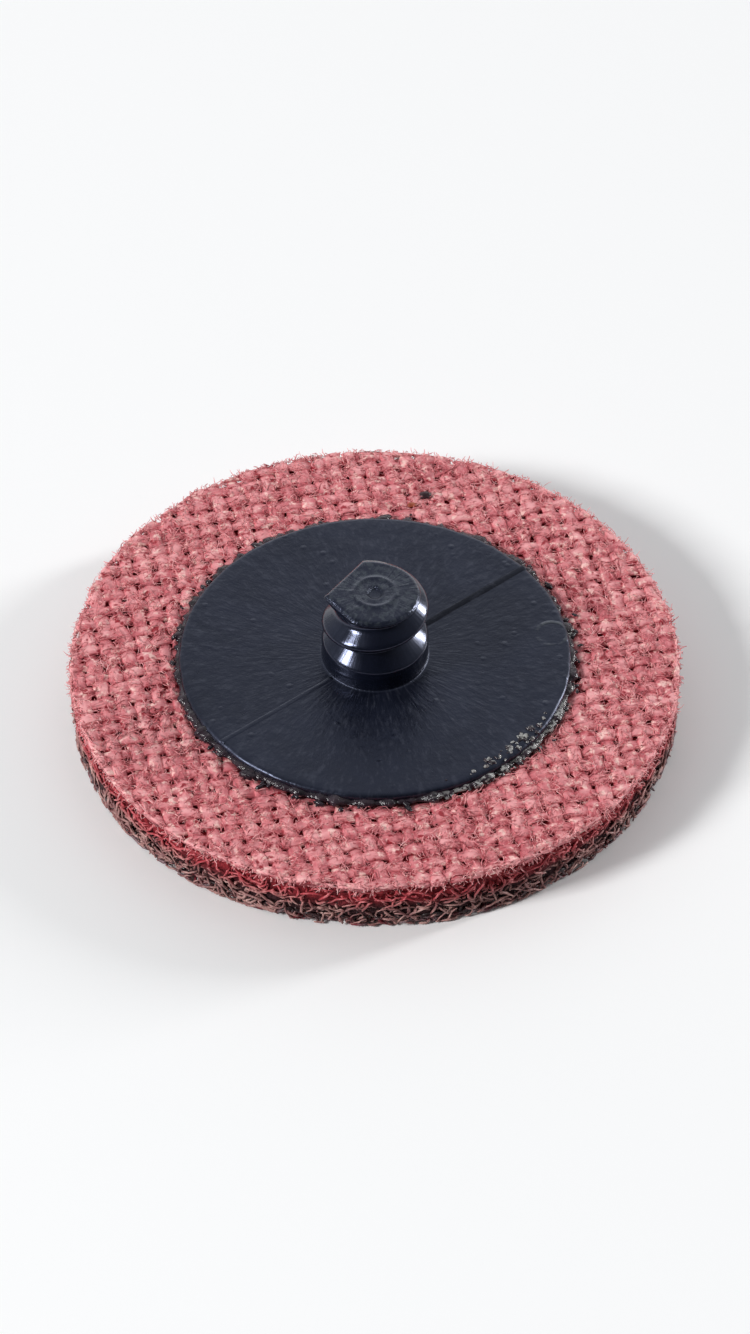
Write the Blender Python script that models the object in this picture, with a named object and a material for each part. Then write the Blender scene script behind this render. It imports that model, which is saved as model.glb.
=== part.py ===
"""Surface conditioning disc with a roll-on threaded button, 50 mm nominal.

Four pieces are bonded into one part: the nonwoven abrasive web, the woven scrim that backs it, the
adhesive that beads out round the button, and the moulded button with its coarse thread.
The disc lies on its abrasive face, with the stud pointing up along +Z from the origin.
Dimensions are millimetres; every mesh is scaled to metres when its object is made.
"""

import math
import random

import bmesh
import bpy
from mathutils import Matrix, Vector, geometry

MM = 0.001

# Disc
DISC_DIAMETER = 50.0
WEB_THICKNESS = 4.05
SCRIM_THICKNESS = 0.90
LAYER_GAP = 0.05  # clearance between bonded layers
RIM_POINTS = 64
RIM_WEAR = 0.35  # how far the die-cut rim wanders inward

# Abrasive web
PIT_COUNT = 1080  # points spread over the abrasive face
PIT_MARGIN = 1.2  # kept between the outermost of them and the rim
PIT_STRAY = 0.3
PIT_SHARE = 0.40
PIT_DEPTH = 1.4
WEB_LAND_RADIUS = 4.0  # flat patch kept at the centre of the abrasive face
WEB_EDGE_ROUND = 0.3
SIDE_ROWS = 4
SIDE_RAG = 0.7  # depth of the hollows in the cut side
SIDE_STRAY = 0.3

# Woven scrim
WEAVE_PITCH = 1.5
WEAVE_ANGLE = 12.0
WARP_DIP = 0.10  # a yarn between two crossings lies this far below the crossings
WEFT_DIP = 0.22
MESH_DEPTH = 0.70  # depth of the closed meshes between the yarns
GAP_WIDTH = 0.70  # foot of a mesh that is open right through
GAP_STEP = 5  # one mesh in this many is open
PRESSED_DEPTH = 0.25  # the button's seat is pressed this far into the cloth

# Adhesive
ADHESIVE_THICKNESS = 0.15
BEAD_SPREAD = 0.80  # widest reach of the bead past the button's plate
BEAD_HEIGHT = 0.60
BEAD_POINTS = 60
BEAD_UNDERCUT = 0.05

# Threaded button
PLATE_DIAMETER = 32.0
PLATE_THICKNESS = 0.75
PLATE_CHAMFER = 0.25
STUD_HEIGHT = 7.0
COLLAR_DIAMETER = 8.7  # a little over the crests, so that it takes up the end of the thread
COLLAR_HEIGHT = 2.1
COLLAR_FILLET = 0.35
COLLAR_CHAMFER = 0.4
CORE_DIAMETER = 6.2
CORE_LAP = 0.15  # the threaded rod covers the stud's heart by this much
CREST_DIAMETER = 8.6
CREST_WIDTH = 0.36
CREST_BREAK = 0.06  # the crest's corners lie this far inside it
FLANK_WIDTH = 1.25  # half width of the thread where it leaves the core
THREAD_PITCH = 3.2
SPARE_TURNS = 2  # of the threaded rod, above the stud's end and cut off there
THREAD_AT_ZERO = 5.4  # height over the plate of the crest that crosses the +X side
CROWN_DIAMETER = 7.4  # round land that the thread starts from, beside the end face
CROWN_HEIGHT = 0.5
BUTTON_STEPS = 40
LEAD_FLATS = ((143.0, 3.15, 1.0), (219.0, 3.45, 1.25))  # azimuth in degrees, distance from the axis, height
PARTING_AZIMUTH = 39.0
PARTING_WIDTH = 0.6
PARTING_HEIGHT = 0.14
PARTING_MARGIN = 0.5  # kept between its ends and the plate's rim
GATE_RING_RADIUS = 1.65
GATE_RING_WIDTH = 0.6
GATE_RING_HEIGHT = 0.15
GATE_DIMPLE_RADIUS = 0.6
GATE_DIMPLE_DEPTH = 0.25

# Heights of the stack
DISC_RADIUS = DISC_DIAMETER / 2
SCRIM_BASE = WEB_THICKNESS + LAYER_GAP
SCRIM_TOP = SCRIM_BASE + SCRIM_THICKNESS
SEAT_FLOOR = SCRIM_TOP - PRESSED_DEPTH
ADHESIVE_BASE = SEAT_FLOOR + LAYER_GAP
ADHESIVE_TOP = ADHESIVE_BASE + ADHESIVE_THICKNESS
PLATE_BASE = ADHESIVE_TOP + LAYER_GAP
PLATE_TOP = PLATE_BASE + PLATE_THICKNESS
PLATE_RADIUS = PLATE_DIAMETER / 2
BEAD_INNER = PLATE_RADIUS + LAYER_GAP
SEAT_RADIUS = PLATE_RADIUS + BEAD_SPREAD + LAYER_GAP


def clear_scene():
    for obj in list(bpy.data.objects):
        bpy.data.objects.remove(obj, do_unlink=True)


def linear(channel):
    value = channel / 255
    return value / 12.92 if value <= 0.04045 else ((value + 0.055) / 1.055) ** 2.4


def material(name, colour, roughness, coat=0.0):
    made = bpy.data.materials.new(name)
    made.use_nodes = True
    shader = made.node_tree.nodes["Principled BSDF"]
    rgba = (*[linear(channel) for channel in colour], 1.0)
    shader.inputs["Base Color"].default_value = rgba
    shader.inputs["Roughness"].default_value = roughness
    shader.inputs["Metallic"].default_value = 0.0
    shader.inputs["Coat Weight"].default_value = coat
    made.diffuse_color = rgba
    return made


def new_object(name, bm, base, parent, surface=None):
    """Turns a bmesh in millimetres into an object that stands at the given height."""
    bmesh.ops.recalc_face_normals(bm, faces=bm.faces)
    bmesh.ops.scale(bm, vec=(MM, MM, MM), verts=bm.verts)
    mesh = bpy.data.meshes.new(name)
    bm.to_mesh(mesh)
    bm.free()
    obj = bpy.data.objects.new(name, mesh)
    bpy.context.scene.collection.objects.link(obj)
    obj.location.z = base * MM
    obj.parent = parent
    if surface:
        mesh.materials.append(surface)
    return obj


def combine(obj, tool, operation, parent):
    """Adds an exact Boolean and keeps its tool out of the render."""
    tool.hide_render = True
    tool.display_type = "WIRE"
    tool.parent = parent
    step = obj.modifiers.new(tool.name, "BOOLEAN")
    step.operation = operation
    step.solver = "EXACT"
    step.object = tool


def polar(radius, angle, z=0.0):
    return Vector((radius * math.cos(angle), radius * math.sin(angle), z))


def rim_radii():
    """The cut rim: full size on both axes, worn back a little in between."""
    rng = random.Random(11)
    radii = []
    for i in range(RIM_POINTS):
        on_axis = i % (RIM_POINTS // 4) == 0
        radii.append(DISC_RADIUS - (0 if on_axis else RIM_WEAR * rng.random()))
    return radii


def add_ring(bm, radii, z):
    count = len(radii)
    return [bm.verts.new(polar(r, math.tau * i / count, z)) for i, r in enumerate(radii)]


def join_rings(bm, lower, upper):
    count = len(lower)
    for i in range(count):
        k = (i + 1) % count
        bm.faces.new((lower[i], lower[k], upper[k], upper[i]))


def revolve(bm, profile, steps):
    """Turns a profile of (radius, z) points about Z and closes it on the axis."""
    verts = [bm.verts.new((r, 0, z)) for r, z in profile]
    edges = [bm.edges.new(pair) for pair in zip(verts, verts[1:])]
    bmesh.ops.spin(
        bm,
        geom=verts + edges,
        cent=(0, 0, 0),
        axis=(0, 0, 1),
        angle=math.tau,
        steps=steps,
        use_merge=True,
    )
    bmesh.ops.remove_doubles(bm, verts=bm.verts, dist=0.0005)


def make_web(parent):
    """Open nonwoven mat: an abrasive face full of pits between flat lands, and a ragged cut side."""
    rng = random.Random(23)
    bm = bmesh.new()
    rim = rim_radii()
    turn = math.pi * (3 - math.sqrt(5))
    spots = []
    for i in range(PIT_COUNT):
        reach = (DISC_RADIUS - PIT_MARGIN) * math.sqrt((i + 0.5) / PIT_COUNT)
        stray = Vector((rng.uniform(-PIT_STRAY, PIT_STRAY), rng.uniform(-PIT_STRAY, PIT_STRAY), 0))
        spots.append(polar(reach, i * turn) + stray)
    edge = [polar(r - WEB_EDGE_ROUND, math.tau * i / RIM_POINTS) for i, r in enumerate(rim)]
    flat = [Vector((p.x, p.y)) for p in edge + spots]
    loop = [(i, (i + 1) % RIM_POINTS) for i in range(RIM_POINTS)]
    points, _, faces, *_ = geometry.delaunay_2d_cdt(flat, loop, [], 1, 1e-5)
    verts = []
    for i, point in enumerate(points):
        height = 0.0
        if i < RIM_POINTS:
            height = WEB_EDGE_ROUND * rng.uniform(0.4, 1.2)
        elif point.length > WEB_LAND_RADIUS and rng.random() < PIT_SHARE:
            height = PIT_DEPTH * rng.uniform(0.5, 1.0)
        verts.append(bm.verts.new((point.x, point.y, height)))
    for face in faces:
        bm.faces.new([verts[i] for i in face])
    lower = verts[:RIM_POINTS]
    for row in range(1, SIDE_ROWS + 1):
        last = row == SIDE_ROWS
        z = WEB_THICKNESS * row / SIDE_ROWS
        radii = [r - (0 if last else SIDE_RAG * rng.random()) for r in rim]
        upper = add_ring(bm, radii, z)
        if not last:
            for vert in upper:
                vert.co.z += rng.uniform(-SIDE_STRAY, SIDE_STRAY)
        join_rings(bm, lower, upper)
        lower = upper
    bm.faces.new(lower)
    colour = material("abrasive_fibre", (75, 52, 58), 0.85)
    return new_object("abrasive_web", bm, 0.0, parent, colour)


def make_scrim(parent):
    """Woven cloth: warp and weft cross proud of the meshes between them, and some meshes are open."""
    cells = 2 * math.ceil((DISC_RADIUS + 1) / WEAVE_PITCH)
    half = cells * WEAVE_PITCH / 2
    step = WEAVE_PITCH / 2
    bm = bmesh.new()
    bmesh.ops.create_grid(bm, x_segments=2 * cells, y_segments=2 * cells, size=half)
    mesh_centres = []
    for vert in bm.verts:
        i = round((vert.co.x + half) / step)
        j = round((vert.co.y + half) / step)
        if vert.co.xy.length < SEAT_RADIUS + WEAVE_PITCH / 4:
            vert.co.z = SCRIM_THICKNESS
        elif i % 2 and j % 2:
            vert.co.z = SCRIM_THICKNESS - MESH_DEPTH
            inside = SEAT_RADIUS + step < vert.co.xy.length < DISC_RADIUS - RIM_WEAR - WEAVE_PITCH
            if inside and (i // 2 + 2 * (j // 2)) % GAP_STEP == 0:
                mesh_centres.append(vert)
        else:
            vert.co.z = SCRIM_THICKNESS - (WEFT_DIP if i % 2 else WARP_DIP if j % 2 else 0)
    bmesh.ops.triangulate(bm, faces=bm.faces, quad_method="SHORT_EDGE")
    for vert in mesh_centres:
        open_mesh(bm, vert)
    bmesh.ops.rotate(bm, verts=bm.verts, matrix=Matrix.Rotation(math.radians(WEAVE_ANGLE), 3, "Z"))
    trim_to_disc(bm)
    rim = [e for e in bm.edges if e.is_boundary and e.verts[0].co.z > 0]
    skirt = bmesh.ops.extrude_edge_only(bm, edges=rim)["geom"]
    for vert in skirt:
        if isinstance(vert, bmesh.types.BMVert):
            vert.co.z = 0.0
    edges = [e for e in bm.edges if e.is_boundary]
    bmesh.ops.triangle_fill(bm, use_beauty=True, edges=edges, normal=(0, 0, -1))
    colour = material("woven_cloth", (178, 104, 110), 0.8)
    scrim = new_object("scrim_backing", bm, SCRIM_BASE, parent, colour)

    press = bmesh.new()
    bmesh.ops.create_cone(
        press,
        cap_ends=True,
        segments=56,
        radius1=SEAT_RADIUS,
        radius2=SEAT_RADIUS,
        depth=2 * SCRIM_THICKNESS,
    )
    tool = new_object("button_press", press, SEAT_FLOOR + SCRIM_THICKNESS, None)
    combine(scrim, tool, "DIFFERENCE", parent)
    return scrim


def open_mesh(bm, centre):
    """Opens one mesh of the cloth right through, narrowing toward the web."""
    spot = centre.co.xy
    ring = [e for face in centre.link_faces for e in face.edges if centre not in e.verts]
    bmesh.ops.delete(bm, geom=[centre], context="VERTS")
    foot = bmesh.ops.extrude_edge_only(bm, edges=ring)["geom"]
    for vert in foot:
        if isinstance(vert, bmesh.types.BMVert):
            reach = vert.co.xy - spot
            vert.co.xy = spot + reach.normalized() * GAP_WIDTH / 2
            vert.co.z = 0.0


def trim_to_disc(bm):
    """Cuts the cloth to a regular polygon, then draws its edge in to the worn rim."""
    for i in range(RIM_POINTS):
        out = polar(1.0, math.tau * (i + 0.5) / RIM_POINTS)
        reach = DISC_RADIUS * math.cos(math.pi / RIM_POINTS)
        bmesh.ops.bisect_plane(
            bm,
            geom=bm.verts[:] + bm.edges[:] + bm.faces[:],
            dist=0.03,
            plane_co=out * reach,
            plane_no=out,
            clear_outer=True,
        )
    rim = rim_radii()
    for vert in bm.verts:
        flat = vert.co.xy
        place = (math.atan2(flat.y, flat.x) / math.tau * RIM_POINTS) % RIM_POINTS
        i = int(place) % RIM_POINTS
        worn = rim[i] + (rim[(i + 1) % RIM_POINTS] - rim[i]) * (place - int(place))
        near_rim = max(0.0, 1 - (DISC_RADIUS - flat.length) / WEAVE_PITCH)
        vert.co.xy = flat * (1 - (DISC_RADIUS - worn) * near_rim / flat.length) if near_rim else flat


def make_adhesive(parent):
    """A film under the button that beads up and out round its plate in uneven drops."""
    rng = random.Random(5)
    bm = bmesh.new()
    reach = [PLATE_RADIUS + BEAD_SPREAD * rng.uniform(0.3, 1.0) for _ in range(BEAD_POINTS)]
    crest = [ADHESIVE_THICKNESS + BEAD_HEIGHT * rng.uniform(0.15, 1.0) for _ in range(BEAD_POINTS)]
    inner = [BEAD_INNER] * BEAD_POINTS
    film = add_ring(bm, inner, ADHESIVE_THICKNESS)
    rise = add_ring(bm, inner, 0.0)
    brow = add_ring(bm, [BEAD_INNER * 0.45 + r * 0.55 for r in reach], 0.0)
    shore = add_ring(bm, reach, ADHESIVE_THICKNESS * 0.6)
    foot = add_ring(bm, [r - BEAD_UNDERCUT for r in reach], 0.0)
    for high, low, top in zip(rise, brow, crest):
        high.co.z = top
        low.co.z = top * 0.85
    for lower, upper in ((film, rise), (rise, brow), (brow, shore), (shore, foot)):
        join_rings(bm, lower, upper)
    bm.faces.new(film)
    bm.faces.new(foot)
    colour = material("melted_adhesive", (34, 26, 32), 0.4)
    return new_object("adhesive_bead", bm, ADHESIVE_BASE, parent, colour)


def make_button(parent):
    """One moulding: a chamfered plate, a collar and a stud with two turns of coarse right-hand thread."""
    top = PLATE_THICKNESS
    collar = COLLAR_DIAMETER / 2
    heart = CORE_DIAMETER / 2 - CORE_LAP
    crown = CROWN_DIAMETER / 2
    end = top + STUD_HEIGHT
    bm = bmesh.new()
    revolve(
        bm,
        [
            (0, 0),
            (PLATE_RADIUS - PLATE_CHAMFER, 0),
            (PLATE_RADIUS, PLATE_CHAMFER),
            (PLATE_RADIUS, top - PLATE_CHAMFER),
            (PLATE_RADIUS - PLATE_CHAMFER, top),
            (collar + COLLAR_FILLET, top),
            (collar, top + COLLAR_FILLET),
            (collar, top + COLLAR_HEIGHT - COLLAR_CHAMFER),
            (collar - COLLAR_CHAMFER, top + COLLAR_HEIGHT),
            (heart, top + COLLAR_HEIGHT + COLLAR_CHAMFER),
            (heart, end - 2 * CROWN_HEIGHT),
            (crown, end - CROWN_HEIGHT),
            (crown, end + CROWN_HEIGHT),
            (0, end + CROWN_HEIGHT),
        ],
        BUTTON_STEPS,
    )
    colour = material("moulded_nylon", (44, 47, 59), 0.32, coat=0.2)
    button = new_object("threaded_button", bm, PLATE_BASE, parent, colour)
    combine(button, make_thread(end), "UNION", parent)
    combine(button, make_parting_line(), "UNION", parent)
    end_tool = make_end_tool(end)
    for azimuth, distance, height in LEAD_FLATS:
        combine(end_tool, make_lead_tool(end, azimuth, distance, height), "UNION", parent)
    combine(button, end_tool, "DIFFERENCE", parent)
    return button


def make_parting_line():
    """The low ridge that the two halves of the mould leave across the plate."""
    reach = PLATE_RADIUS - PARTING_MARGIN
    foot = PLATE_THICKNESS / 2
    crest = PLATE_THICKNESS + PARTING_HEIGHT
    bm = bmesh.new()
    bmesh.ops.create_cube(bm, size=1.0)
    for vert in bm.verts:
        vert.co.x *= 2 * reach
        vert.co.y *= PARTING_WIDTH * (0.4 if vert.co.z > 0 else 1.0)
        vert.co.z = crest if vert.co.z > 0 else foot
    bmesh.ops.rotate(bm, verts=bm.verts, matrix=Matrix.Rotation(math.radians(PARTING_AZIMUTH), 3, "Z"))
    return new_object("parting_line_tool", bm, PLATE_BASE, None)


def make_thread(end):
    """A threaded rod: one flank line several pitches long, screwed round once so that it meets itself."""
    core = CORE_DIAMETER / 2
    crest = CREST_DIAMETER / 2
    pitches = math.ceil(STUD_HEIGHT / THREAD_PITCH) + SPARE_TURNS + 1
    section = [
        (core, -FLANK_WIDTH),
        (crest - CREST_BREAK, -CREST_WIDTH / 2),
        (crest, 0.0),
        (crest - CREST_BREAK, CREST_WIDTH / 2),
        (core, FLANK_WIDTH),
    ]
    start = math.pi / BUTTON_STEPS  # half a step, so that no edge of the rod meets one of the collar's
    crest_height = PLATE_THICKNESS + THREAD_AT_ZERO + THREAD_PITCH * start / math.tau
    low = crest_height - (pitches - SPARE_TURNS) * THREAD_PITCH
    bm = bmesh.new()
    verts = [
        bm.verts.new(polar(r, start, low + turn * THREAD_PITCH + z))
        for turn in range(pitches)
        for r, z in section
    ]
    edges = [bm.edges.new(pair) for pair in zip(verts, verts[1:])]
    bmesh.ops.spin(
        bm,
        geom=verts + edges,
        cent=(0, 0, 0),
        axis=(0, 0, 1),
        dvec=(0, 0, THREAD_PITCH / BUTTON_STEPS),
        angle=math.tau,
        steps=BUTTON_STEPS,
    )
    bmesh.ops.remove_doubles(bm, verts=bm.verts, dist=0.002)
    for height, outward in ((PLATE_THICKNESS / 2, -1), (end + 1.5 * CROWN_HEIGHT, 1)):
        bmesh.ops.bisect_plane(
            bm,
            geom=bm.verts[:] + bm.edges[:] + bm.faces[:],
            plane_co=(0, 0, height),
            plane_no=(0, 0, outward),
            clear_outer=True,
        )
        cut = [e for e in bm.edges if e.is_boundary and abs(e.verts[0].co.z - height) < 0.001]
        bmesh.ops.contextual_create(bm, geom=cut)
    return new_object("thread_rod", bm, PLATE_BASE, None)


def make_end_tool(end):
    """Cuts the end face flat, leaving the gate's ring proud and its dimple sunk."""
    ring = GATE_RING_RADIUS
    bm = bmesh.new()
    revolve(
        bm,
        [
            (0, end - GATE_DIMPLE_DEPTH),
            (GATE_DIMPLE_RADIUS, end - GATE_DIMPLE_DEPTH),
            (GATE_DIMPLE_RADIUS + 0.1, end),
            (ring - GATE_RING_WIDTH / 2, end),
            (ring - GATE_RING_WIDTH / 4, end + GATE_RING_HEIGHT),
            (ring + GATE_RING_WIDTH / 4, end + GATE_RING_HEIGHT),
            (ring + GATE_RING_WIDTH / 2, end),
            (CREST_DIAMETER, end),
            (CREST_DIAMETER, end + 2 * THREAD_PITCH),
            (0, end + 2 * THREAD_PITCH),
        ],
        BUTTON_STEPS // 2,
    )
    bmesh.ops.rotate(bm, verts=bm.verts, matrix=Matrix.Rotation(math.pi / BUTTON_STEPS / 2, 3, "Z"))
    return new_object("end_face_tool", bm, PLATE_BASE, None)


def make_lead_tool(end, azimuth, distance, height):
    """A block that flattens the thread's first run beside the end face."""
    bm = bmesh.new()
    bmesh.ops.create_cube(bm, size=1.0)
    bmesh.ops.scale(bm, vec=(4.0, 10.0, 2 * height), verts=bm.verts)
    bmesh.ops.translate(bm, vec=(distance + 2.0, 0, end), verts=bm.verts)
    bmesh.ops.rotate(bm, verts=bm.verts, matrix=Matrix.Rotation(math.radians(azimuth), 3, "Z"))
    return new_object("lead_flat_tool", bm, PLATE_BASE, None)


def main():
    clear_scene()
    disc = bpy.data.objects.new("surface_conditioning_disc", None)
    bpy.context.scene.collection.objects.link(disc)
    make_web(disc)
    make_scrim(disc)
    make_adhesive(disc)
    make_button(disc)


if __name__ == "__main__":
    main()
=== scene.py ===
"""Looks for a 50 mm surface conditioning disc: fibre web, woven cloth back, adhesive bead, threaded button.

The disc lies on its abrasive face with the stud up. Sizes are metres, colours are linear.
"""

import math
import random
from functools import partial

import bmesh
import bpy
from bpy.props import FloatProperty, FloatVectorProperty, IntProperty, PointerProperty
from mathutils import Matrix, Vector, noise


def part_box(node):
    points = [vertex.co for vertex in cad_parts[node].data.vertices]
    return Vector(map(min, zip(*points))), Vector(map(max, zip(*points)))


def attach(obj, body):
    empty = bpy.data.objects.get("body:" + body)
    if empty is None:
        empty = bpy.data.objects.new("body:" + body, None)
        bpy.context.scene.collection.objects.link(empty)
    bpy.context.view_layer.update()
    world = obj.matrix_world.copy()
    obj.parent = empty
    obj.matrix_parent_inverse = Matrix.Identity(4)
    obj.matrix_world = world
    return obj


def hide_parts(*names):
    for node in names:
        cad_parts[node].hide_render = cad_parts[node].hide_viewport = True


bl_info = {
    "name": "Surface conditioning disc",
    "version": (1, 0, 0),
    "blender": (4, 5, 0),
    "location": "View3D > Sidebar > Disc",
    "description": "Builds the visible pieces of a nonwoven abrasive disc round its CAD frame",
    "category": "Object",
}

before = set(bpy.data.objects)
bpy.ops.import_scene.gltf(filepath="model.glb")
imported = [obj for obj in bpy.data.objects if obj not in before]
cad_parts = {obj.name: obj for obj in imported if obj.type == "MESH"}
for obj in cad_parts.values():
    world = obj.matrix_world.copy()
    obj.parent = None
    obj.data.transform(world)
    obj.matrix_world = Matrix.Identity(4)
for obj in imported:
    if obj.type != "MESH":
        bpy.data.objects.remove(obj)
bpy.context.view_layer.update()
WEB_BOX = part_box("abrasive_web")
CLOTH_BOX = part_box("scrim_backing")
BUTTON_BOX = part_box("threaded_button")
BEAD_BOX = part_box("adhesive_bead")

MM = 0.001
DISC_RADIUS = WEB_BOX[1][0]
WEB_TOP = WEB_BOX[1][2]
CLOTH_BASE = CLOTH_BOX[0][2]
CLOTH_TOP = CLOTH_BOX[1][2]
BEAD_BASE = BEAD_BOX[0][2]
PLATE_RADIUS = BUTTON_BOX[1][0]
PLATE_BASE = BUTTON_BOX[0][2]
PLATE_THICKNESS = 0.75 * MM
PLATE_TOP = PLATE_BASE + PLATE_THICKNESS

# Stage
FLOOR_REACH = 3.0
LAMPS = (  # name, place, width, height, watts
    ("window_left", (-1.20, -0.52, 0.78), 0.30, 0.40, 20.8),
    ("window_right", (1.32, 0.60, 0.42), 0.16, 0.50, 14.5),
)
CAMERA_ELEVATION = math.radians(45.5)
CAMERA_DISTANCE = 0.46
CAMERA_SHIFT = -0.012
AIM_HEIGHT = 5.2 * MM
VIEW_WIDTH = 61.2 * MM  # what the picture's width spans at the disc
SENSOR_WIDTH = 36.0  # this one is in millimetres, as Blender takes it

# Web and cloth
RIM_INSET = 0.12 * MM  # mean distance of the visible rim from the solid's
RIM_WANDER = 0.16 * MM
PRESS_REACH = 0.9 * MM  # the button dents the layers this far past its plate
SIDE_ROOM = 0.40 * MM  # left round the heart of the mat for its strands
DYED_ZONE = (1.9 * MM, 3.1 * MM)  # heights over which the mat turns crimson
TIP_SHARE = 0.65  # thickness of a strand's tips
WELD = 0.001 * MM  # points this near to each other become one
NODULE_RADIUS = 0.15 * MM
FUZZ_RADIUS = 0.034 * MM
FRAY_RADIUS = 0.038 * MM
CLOTS = ((4.2, 19.4, 0.45), (3.1, 18.2, 0.32))  # x, y and radius in millimetres, the dark one first
CLOT_BORDER = 3.6 * MM  # x between the two

# Adhesive; the laps are large drops, each an azimuth in degrees and millimetres past the plate
LAPS = ((88, 0.35), (126, 0.05), (43, 0.0), (39, 0.1), (232, 0.4), (170, 0.2), (300, 0.2))
LAP_RADIUS = 0.55 * MM
DROP_COUNT = 150
CRINKLE_COUNT = 64
CRINKLE_AZIMUTH = math.radians(-42)

# Button
LEAD_FLATS = ((143.0, 3.15, 1.0), (219.0, 3.45, 1.25))  # azimuth in degrees, distance and height in mm
EDGE_ROUND = 0.45 * MM
GATE_RING_RADIUS = 1.65 * MM
PARTING_AZIMUTH = math.radians(39)
RIDGE_HEIGHTS = (0.14 * MM, 0.045 * MM)  # on the half toward the azimuth and on the other one
RIDGE_WIDTH = 0.60 * MM
BLISTER_CENTRE = (14.5 * MM, 2.3 * MM, PLATE_TOP)
BLISTER_RADIUS = 1.3 * MM


def srgb(red, green, blue):
    """Linear colour of an sRGB colour given in 0 to 255."""
    out = []
    for channel in (red, green, blue):
        value = channel / 255
        out.append(value / 12.92 if value <= 0.04045 else ((value + 0.055) / 1.055) ** 2.4)
    return tuple(out)


class WebSettings(bpy.types.PropertyGroup):
    """Nonwoven mat."""

    strand_radius: FloatProperty(
        name="Strand radius", description="Radius of a coated fibre", default=0.09 * MM, unit="LENGTH"
    )
    face_strands: IntProperty(
        name="Face strands", description="Fibres laid over the abrasive face", default=5200
    )
    side_strands: IntProperty(name="Side strands", description="Fibres round the cut side", default=3600)
    nodules: IntProperty(name="Nodules", description="Clots of resin and grit", default=3400)
    fibre_colour: FloatVectorProperty(
        name="Fibre", description="Coated fibre", subtype="COLOR", default=srgb(98, 66, 70)
    )
    # pit_shade is painted shade: the near-black of the mat's depths, given to the heart and to the deeper
    # face strands.
    pit_shade: FloatVectorProperty(
        name="Pit", description="Depth of the mat", subtype="COLOR", default=srgb(36, 14, 18)
    )
    crimson: FloatVectorProperty(
        name="Crimson", description="Dyed fibre beside the cloth", subtype="COLOR", default=srgb(176, 54, 64)
    )


class ClothSettings(bpy.types.PropertyGroup):
    """Woven backing."""

    pitch: FloatProperty(
        name="Weave pitch", description="Spacing of the yarns", default=1.5 * MM, unit="LENGTH"
    )
    turn: FloatProperty(
        name="Weave turn", description="Turn of the warp about Z", default=math.radians(12), subtype="ANGLE"
    )
    yarn_width: FloatProperty(
        name="Yarn width", description="Width of a flattened yarn", default=1.18 * MM, unit="LENGTH"
    )
    yarn_height: FloatProperty(
        name="Yarn height", description="Thickness of a flattened yarn", default=0.40 * MM, unit="LENGTH"
    )
    fuzz_count: IntProperty(name="Fuzz", description="Fibres needled up through the cloth", default=9000)
    frayed_count: IntProperty(name="Frayed ends", description="Cut fibres round the rim", default=2200)
    # On the woven yarns light is a painted highlight on the crests and deep is painted shade in the valleys;
    # on the fuzz and frayed ends they are plain fibre tones.
    light: FloatVectorProperty(
        name="Yarn crest", description="Crest of a yarn, lightened as painted highlight", subtype="COLOR", default=srgb(240, 166, 168)
    )
    middle: FloatVectorProperty(
        name="Yarn", description="Body of a yarn", subtype="COLOR", default=srgb(206, 108, 116)
    )
    deep: FloatVectorProperty(
        name="Yarn valley", description="Valley of a yarn, darkened as painted shade", subtype="COLOR", default=srgb(138, 42, 50)
    )


class ButtonSettings(bpy.types.PropertyGroup):
    """Moulded button."""

    stud_height: FloatProperty(
        name="Stud height", description="Height over the plate", default=7.0 * MM, unit="LENGTH"
    )
    plate_thickness: FloatProperty(
        name="Plate thickness", description="Thickness of the plate", default=PLATE_THICKNESS, unit="LENGTH"
    )
    core_radius: FloatProperty(
        name="Core radius", description="Radius at the root of the thread", default=3.1 * MM, unit="LENGTH"
    )
    crest_radius: FloatProperty(
        name="Crest radius", description="Radius at the crest of the thread", default=4.3 * MM, unit="LENGTH"
    )
    collar_radius: FloatProperty(
        name="Collar radius", description="Radius of the collar", default=4.35 * MM, unit="LENGTH"
    )
    collar_height: FloatProperty(
        name="Collar height", description="Height of the collar", default=2.1 * MM, unit="LENGTH"
    )
    crown_radius: FloatProperty(
        name="Crown radius", description="Radius of the end face", default=3.7 * MM, unit="LENGTH"
    )
    thread_pitch: FloatProperty(
        name="Thread pitch", description="Rise of one turn", default=3.2 * MM, unit="LENGTH"
    )
    crest_at_zero: FloatProperty(
        name="First crest", description="Height of the crest on the +X side", default=5.4 * MM, unit="LENGTH"
    )
    nylon: FloatVectorProperty(
        name="Nylon", description="Colour of the moulding", subtype="COLOR", default=srgb(12, 15, 26)
    )


class DiscSettings(bpy.types.PropertyGroup):
    """All settings of the disc."""

    web: PointerProperty(type=WebSettings)
    cloth: PointerProperty(type=ClothSettings)
    button: PointerProperty(type=ButtonSettings)


def mix(a, b, share):
    return a + (b - a) * share


def smooth_step(low, high, value):
    t = min(1.0, max(0.0, (value - low) / (high - low)))
    return t * t * (3 - 2 * t)


def smooth_max(a, b, blend):
    """Larger of two values, with a fillet of the given size where they meet."""
    share = min(1.0, max(0.0, 0.5 + 0.5 * (a - b) / blend))
    return mix(b, a, share) + blend * share * (1 - share)


def smooth_min(a, b, blend):
    return -smooth_max(-a, -b, blend)


def polar(radius, angle, z=0.0):
    return Vector((radius * math.cos(angle), radius * math.sin(angle), z))


def ripple(x, y, z, scale, seed):
    """Soft noise from -1 to 1; scale is the size of its lumps."""
    return noise.noise(Vector((x / scale + seed, y / scale - seed, z / scale)))


def cut_radius(angle):
    """Radius of the die-cut rim at an angle."""
    return DISC_RADIUS - RIM_INSET - RIM_WANDER * noise.noise(polar(6, angle, 3.0))


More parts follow.
